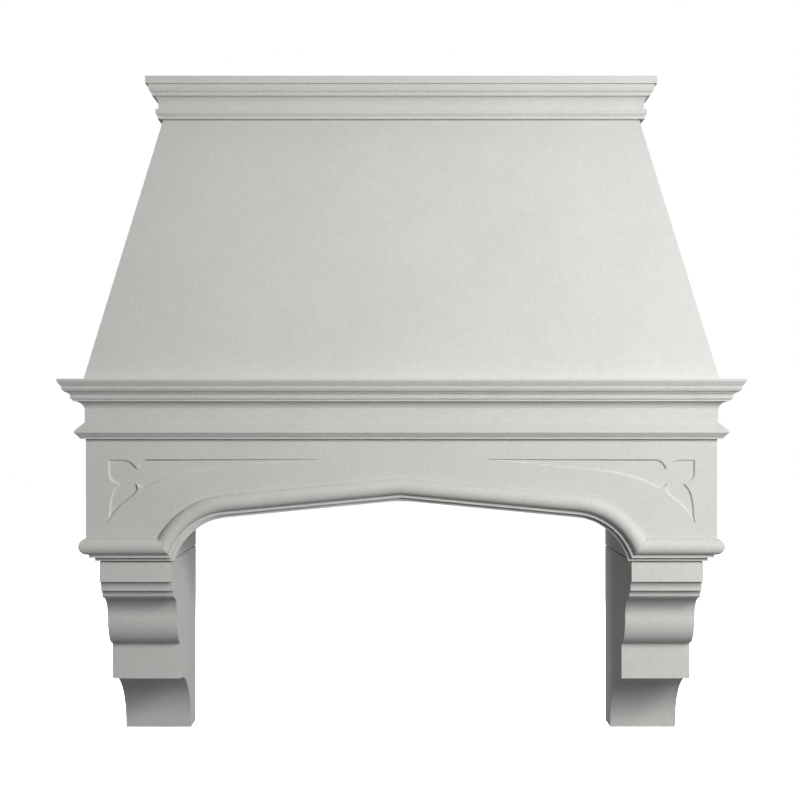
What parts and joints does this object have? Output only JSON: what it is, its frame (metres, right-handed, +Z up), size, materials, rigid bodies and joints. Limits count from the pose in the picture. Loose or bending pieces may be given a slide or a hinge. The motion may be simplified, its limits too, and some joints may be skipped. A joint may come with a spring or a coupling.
{
  "type": "stone range hood",
  "caption": "Wall-hung cast stone range hood: two corbels, arched lintel, mantel and tapered chimney round a steel liner with filters, blower and duct.",
  "frame": {"origin": "centre of the four wall bolt holes in the ledger, on the wall plane, 940 mm above the feet of the corbels", "axes": "+X to the right seen from the room, +Y into the wall, +Z up; the hood stands out towards -Y"},
  "size_m": [1.7888, 0.6154, 1.831],
  "materials": {
    "cast_stone": "honed cast limestone, very fine mottle, matt",
    "mortar": "raked mortar, rough",
    "stainless_steel": "brushed stainless sheet",
    "galvanised_steel": "galvanised, faint spangle",
    "bright_steel": "zinc plated",
    "knob_metal": "turned, satin",
    "black_plastic": "moulded, fine texture",
    "lens_glass": "frosted",
    "lamp_board": "white solder mask",
    "motor_paint": "semi-gloss enamel"
  },
  "bodies": {
    "hood": {"corbel_left": "cast_stone", "corbel_right": "cast_stone", "bed_joint_left": "mortar", "bed_joint_right": "mortar", "arched_lintel": "cast_stone", "mantel_cornice": "cast_stone", "chimney_shell": "cast_stone", "crown_moulding": "cast_stone", "course_dowels": "bright_steel", "corbel_bracket_left": "galvanised_steel", "corbel_bracket_right": "galvanised_steel", "wall_ledger": "galvanised_steel", "ledger_bolts": "bright_steel", "crown_tie": "galvanised_steel", "crown_tie_bolts": "bright_steel", "chimney_cleats": "galvanised_steel", "cleat_screws": "bright_steel", "liner_rail_left": "galvanised_steel", "liner_rail_right": "galvanised_steel", "rail_screws": "bright_steel", "liner_pan": "stainless_steel", "filter_catches": "galvanised_steel", "grease_gutter": "stainless_steel", "control_plate": "stainless_steel", "fan_switch": "black_plastic", "lamp_dimmer": "black_plastic", "lamp_can_left": "stainless_steel", "lamp_can_right": "stainless_steel", "lamp_lens_left": "lens_glass", "lamp_lens_right": "lens_glass", "lamp_board_left": "lamp_board", "lamp_board_right": "lamp_board", "plenum_box": "galvanised_steel", "blower_scroll": "galvanised_steel", "inlet_rings": "galvanised_steel", "fan_motor": "motor_paint", "motor_bracket": "galvanised_steel", "duct_transition": "galvanised_steel", "damper_collar": "galvanised_steel", "duct_pipe": "galvanised_steel", "duct_clamp": "galvanised_steel", "junction_box": "galvanised_steel", "junction_cover": "galvanised_steel", "cable_gland": "black_plastic"},
    "filter_1": {"filter_frame_1": "stainless_steel", "filter_baffles_1": "stainless_steel"},
    "bail_1": {"filter_bail_1": "stainless_steel"},
    "filter_2": {"filter_frame_2": "stainless_steel", "filter_baffles_2": "stainless_steel"},
    "bail_2": {"filter_bail_2": "stainless_steel"},
    "filter_3": {"filter_frame_3": "stainless_steel", "filter_baffles_3": "stainless_steel"},
    "bail_3": {"filter_bail_3": "stainless_steel"},
    "cup": {"grease_cup": "stainless_steel"},
    "fan_control": {"fan_knob": "knob_metal"},
    "lamp_control": {"lamp_knob": "knob_metal"},
    "wheel": {"blower_wheel": "galvanised_steel", "fan_shaft": "bright_steel"},
    "flap_front": {"damper_flap_front": "galvanised_steel"},
    "flap_rear": {"damper_flap_rear": "galvanised_steel"}
  },
  "joints": [
    {"name": "filter_1_tilt", "type": "hinge", "parent": "hood", "child": "filter_1", "pos_m": [-0.345, -0.054, -0.2385], "axis": [1, 0, 0], "range_deg": [0, 75]},
    {"name": "bail_1_swing", "type": "hinge", "parent": "filter_1", "child": "bail_1", "pos_m": [-0.345, -0.364, -0.2432], "axis": [1, 0, 0], "range_deg": [-80, 80]},
    {"name": "filter_2_tilt", "type": "hinge", "parent": "hood", "child": "filter_2", "pos_m": [0, -0.054, -0.2385], "axis": [1, 0, 0], "range_deg": [0, 75]},
    {"name": "bail_2_swing", "type": "hinge", "parent": "filter_2", "child": "bail_2", "pos_m": [0, -0.364, -0.2432], "axis": [1, 0, 0], "range_deg": [-80, 80]},
    {"name": "filter_3_tilt", "type": "hinge", "parent": "hood", "child": "filter_3", "pos_m": [0.345, -0.054, -0.2385], "axis": [1, 0, 0], "range_deg": [0, 75]},
    {"name": "bail_3_swing", "type": "hinge", "parent": "filter_3", "child": "bail_3", "pos_m": [0.345, -0.364, -0.2432], "axis": [1, 0, 0], "range_deg": [-80, 80]},
    {"name": "cup_slide", "type": "slide", "parent": "hood", "child": "cup", "axis": [0, -1, 0], "range_m": [0, 0.05]},
    {"name": "fan_knob_turn", "type": "hinge", "parent": "hood", "child": "fan_control", "pos_m": [-0.06, -0.447, -0.25], "axis": [0, 0, 1], "range_deg": [0, 270]},
    {"name": "lamp_knob_turn", "type": "hinge", "parent": "hood", "child": "lamp_control", "pos_m": [0.06, -0.447, -0.25], "axis": [0, 0, 1], "range_deg": [0, 270]},
    {"name": "wheel_spin", "type": "hinge", "parent": "hood", "child": "wheel", "pos_m": [0, -0.30085, 0.045], "axis": [1, 0, 0], "continuous": true},
    {"name": "flap_front_lift", "type": "hinge", "parent": "hood", "child": "flap_front", "pos_m": [0, -0.196, 0.325], "axis": [-1, 0, 0], "range_deg": [0, 75]},
    {"name": "flap_rear_lift", "type": "hinge", "parent": "hood", "child": "flap_rear", "pos_m": [0, -0.184, 0.325], "axis": [1, 0, 0], "range_deg": [0, 75]}
  ]
}
